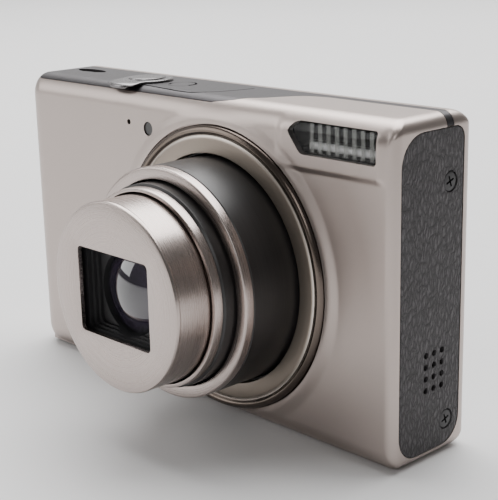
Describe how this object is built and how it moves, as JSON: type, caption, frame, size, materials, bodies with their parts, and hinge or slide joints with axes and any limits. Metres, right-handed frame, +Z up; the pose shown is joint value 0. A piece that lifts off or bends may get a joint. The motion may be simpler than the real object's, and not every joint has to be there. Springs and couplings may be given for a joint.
{
  "type": "compact digital camera",
  "caption": "Slim compact digital camera with a retractable three-stage zoom lens, barrier blades, flash, hinged battery and terminal doors and sprung controls.",
  "frame": {"origin": "centre of the tripod socket's mouth, in the plane of the underside", "axes": "+Z up, -Y the way the lens looks, +X to the right as one faces the lens; the shutter release is at the -X end"},
  "size_m": [0.0996, 0.0441, 0.0587],
  "materials": {
    "shell": "satin blasted and anodised, warm champagne",
    "top_plate": "satin gunmetal",
    "grain_panel": "leather grain, matte",
    "screw_black": "black oxide",
    "polished_ring": "polished bead with a turned cone",
    "turned_metal": "turned and brushed round the axis",
    "barrel_black": "satin black",
    "clear_window": "clear, ribbed behind",
    "reflector": "bright mirror",
    "lamp_lens": "smoked amber",
    "screen": "black cover glass",
    "lcd": "dark panel",
    "sheet_steel": "pressed sheet",
    "circuit_board": "solder mask",
    "black_plastic": "moulded",
    "battery_case": "moulded case",
    "card_case": "moulded case",
    "bright_metal": "machined",
    "control_metal": "polished and satin",
    "control_plastic": "satin",
    "lens_glass": "coated lens glass",
    "blade_black": "satin black",
    "gear_plastic": "natural acetal",
    "gear_brass": "cut brass"
  },
  "bodies": {
    "camera_body": {"front_cover": "shell", "rear_cover": "shell", "top_cover": "top_plate", "side_panel": "grain_panel", "side_screws": "screw_black", "lens_ring": "polished_ring", "flash_window": "clear_window", "flash_reflector": "reflector", "flash_tube": "clear_window", "flash_capacitor": "black_plastic", "af_lamp": "lamp_lens", "screen_glass": "screen", "lcd_panel": "lcd", "chassis": "sheet_steel", "main_board": "circuit_board", "button_board": "circuit_board", "battery_bay": "black_plastic", "battery": "battery_case", "memory_card": "card_case", "tripod_socket": "bright_metal", "terminal_sockets": "bright_metal", "strap_bar": "bright_metal", "speaker": "black_plastic", "bottom_screws": "bright_metal", "door_pins": "bright_metal", "fixed_barrel": "barrel_black", "lens_base": "barrel_black", "image_sensor": "circuit_board", "zoom_motor": "bright_metal"},
    "battery_door": {"battery_door": "shell"},
    "battery_latch": {"battery_latch": "control_plastic"},
    "terminal_door": {"terminal_door": "shell"},
    "zoom_lever": {"zoom_lever": "control_metal"},
    "shutter_button": {"shutter_button": "control_metal"},
    "power_button": {"power_button": "control_metal"},
    "mode_switch": {"mode_switch": "black_plastic"},
    "play_button": {"play_button": "control_plastic"},
    "movie_button": {"movie_button": "control_plastic"},
    "menu_button": {"menu_button": "control_plastic"},
    "four_way_pad": {"four_way_pad": "control_plastic"},
    "set_button": {"set_button": "control_plastic"},
    "barrel_1": {"barrel_1": "barrel_black", "ring_1": "turned_metal"},
    "cam_ring": {"cam_ring": "sheet_steel"},
    "barrel_2": {"barrel_2": "barrel_black", "ring_2": "turned_metal"},
    "barrel_3": {"barrel_3": "turned_metal", "front_cap": "turned_metal", "lens_frame": "barrel_black", "front_lens": "lens_glass"},
    "barrier_upper_front": {"barrier_upper_front": "blade_black"},
    "barrier_upper_rear": {"barrier_upper_rear": "blade_black"},
    "barrier_lower_front": {"barrier_lower_front": "blade_black"},
    "barrier_lower_rear": {"barrier_lower_rear": "blade_black"},
    "zoom_lens": {"zoom_lens": "barrel_black"},
    "focus_lens": {"focus_lens": "barrel_black"},
    "drive_ring": {"drive_ring": "barrel_black"},
    "zoom_gear": {"zoom_gear": "gear_plastic"},
    "motor_pinion": {"motor_pinion": "gear_brass"}
  },
  "joints": [
    {"name": "battery_door_hinge", "type": "hinge", "parent": "camera_body", "child": "battery_door", "pos_m": [-0.02375, -0.0007, 0.001], "axis": [1, 0, 0], "range_deg": [0, 90]},
    {"name": "battery_latch_slide", "type": "slide", "parent": "battery_door", "child": "battery_latch", "axis": [1, 0, 0], "range_m": [0, 0.0014]},
    {"name": "terminal_door_hinge", "type": "hinge", "parent": "camera_body", "child": "terminal_door", "pos_m": [-0.0428, -0.0028, 0.0475], "axis": [0, 0, 1], "range_deg": [0, 90]},
    {"name": "zoom_lever_turn", "type": "hinge", "parent": "camera_body", "child": "zoom_lever", "pos_m": [-0.0118, -0.0026, 0.058], "axis": [0, 0, 1], "range_deg": [-15, 15], "stiffness_Nm_per_rad": 0.01},
    {"name": "shutter_button_press", "type": "slide", "parent": "camera_body", "child": "shutter_button", "axis": [0, 0, -1], "range_m": [0, 0.0005], "stiffness_N_per_m": 300},
    {"name": "power_button_press", "type": "slide", "parent": "camera_body", "child": "power_button", "axis": [0, 0, -1], "range_m": [0, 0.0003], "stiffness_N_per_m": 300},
    {"name": "mode_switch_slide", "type": "slide", "parent": "camera_body", "child": "mode_switch", "axis": [1, 0, 0], "range_m": [0, 0.004]},
    {"name": "play_button_press", "type": "slide", "parent": "camera_body", "child": "play_button", "axis": [0, -1, 0], "range_m": [0, 0.00025], "stiffness_N_per_m": 300},
    {"name": "movie_button_press", "type": "slide", "parent": "camera_body", "child": "movie_button", "axis": [0, -1, 0], "range_m": [0, 0.00025], "stiffness_N_per_m": 300},
    {"name": "menu_button_press", "type": "slide", "parent": "camera_body", "child": "menu_button", "axis": [0, -1, 0], "range_m": [0, 0.00025], "stiffness_N_per_m": 300},
    {"name": "four_way_pad_press", "type": "slide", "parent": "camera_body", "child": "four_way_pad", "axis": [0, -1, 0], "range_m": [0, 0.00025], "stiffness_N_per_m": 300},
    {"name": "set_button_press", "type": "slide", "parent": "camera_body", "child": "set_button", "axis": [0, -1, 0], "range_m": [0, 0.00025], "stiffness_N_per_m": 300},
    {"name": "barrel_1_slide", "type": "slide", "parent": "camera_body", "child": "barrel_1", "axis": [0, 1, 0], "range_m": [0, 0.0102]},
    {"name": "drive_ring_turn", "type": "hinge", "parent": "camera_body", "child": "drive_ring", "pos_m": [0.0156, 0.0016, 0.0275], "axis": [0, 1, 0], "range_deg": [0, 100.1]},
    {"name": "cam_ring_turn", "type": "hinge", "parent": "barrel_1", "child": "cam_ring", "pos_m": [0.0156, -0.0139, 0.0275], "axis": [0, 1, 0], "range_deg": [0, 101]},
    {"name": "barrel_2_slide", "type": "slide", "parent": "barrel_1", "child": "barrel_2", "axis": [0, 1, 0], "range_m": [0, 0.00395]},
    {"name": "barrel_3_slide", "type": "slide", "parent": "barrel_2", "child": "barrel_3", "axis": [0, 1, 0], "range_m": [0, 0.00705]},
    {"name": "zoom_lens_slide", "type": "slide", "parent": "barrel_2", "child": "zoom_lens", "axis": [0, 1, 0], "range_m": [0, 0.00475]},
    {"name": "focus_lens_slide", "type": "slide", "parent": "camera_body", "child": "focus_lens", "axis": [0, 1, 0], "range_m": [0, 0.0033]},
    {"name": "zoom_gear_turn", "type": "hinge", "parent": "camera_body", "child": "zoom_gear", "pos_m": [0.03209, 0.0016, 0.00784], "axis": [0, 1, 0], "range_deg": [-541, 0]},
    {"name": "motor_pinion_turn", "type": "hinge", "parent": "camera_body", "child": "motor_pinion", "pos_m": [0.03779, 0.0016, 0.00992], "axis": [0, 1, 0], "range_deg": [0, 1081]},
    {"name": "barrier_slide", "type": "slide", "parent": "barrel_3", "child": "barrier_upper_front", "axis": [0, 0, -1], "range_m": [0, 0.00765]},
    {"name": "barrier_upper_rear_slide", "type": "slide", "parent": "barrel_3", "child": "barrier_upper_rear", "axis": [0, 0, -1], "range_m": [0, 0.00385]},
    {"name": "barrier_lower_front_slide", "type": "slide", "parent": "barrel_3", "child": "barrier_lower_front", "axis": [0, 0, 1], "range_m": [0, 0.00765]},
    {"name": "barrier_lower_rear_slide", "type": "slide", "parent": "barrel_3", "child": "barrier_lower_rear", "axis": [0, 0, 1], "range_m": [0, 0.00385]}
  ],
  "couplings": [
    {"joint": "drive_ring_turn", "follows": "barrel_1_slide", "rad_per_m": 171.1},
    {"joint": "cam_ring_turn", "follows": "barrel_1_slide", "rad_per_m": 171.1},
    {"joint": "barrel_2_slide", "follows": "barrel_1_slide", "ratio": 0.387},
    {"joint": "barrel_3_slide", "follows": "barrel_1_slide", "ratio": 0.691},
    {"joint": "zoom_lens_slide", "follows": "barrel_1_slide", "ratio": 0.4656},
    {"joint": "focus_lens_slide", "follows": "barrel_1_slide", "ratio": 0.3232},
    {"joint": "zoom_gear_turn", "follows": "barrel_1_slide", "rad_per_m": -923.94},
    {"joint": "motor_pinion_turn", "follows": "barrel_1_slide", "rad_per_m": 1847.9},
    {"joint": "barrier_upper_rear_slide", "follows": "barrier_slide", "ratio": 0.5},
    {"joint": "barrier_lower_front_slide", "follows": "barrier_slide", "ratio": 1},
    {"joint": "barrier_lower_rear_slide", "follows": "barrier_slide", "ratio": 0.5}
  ]
}
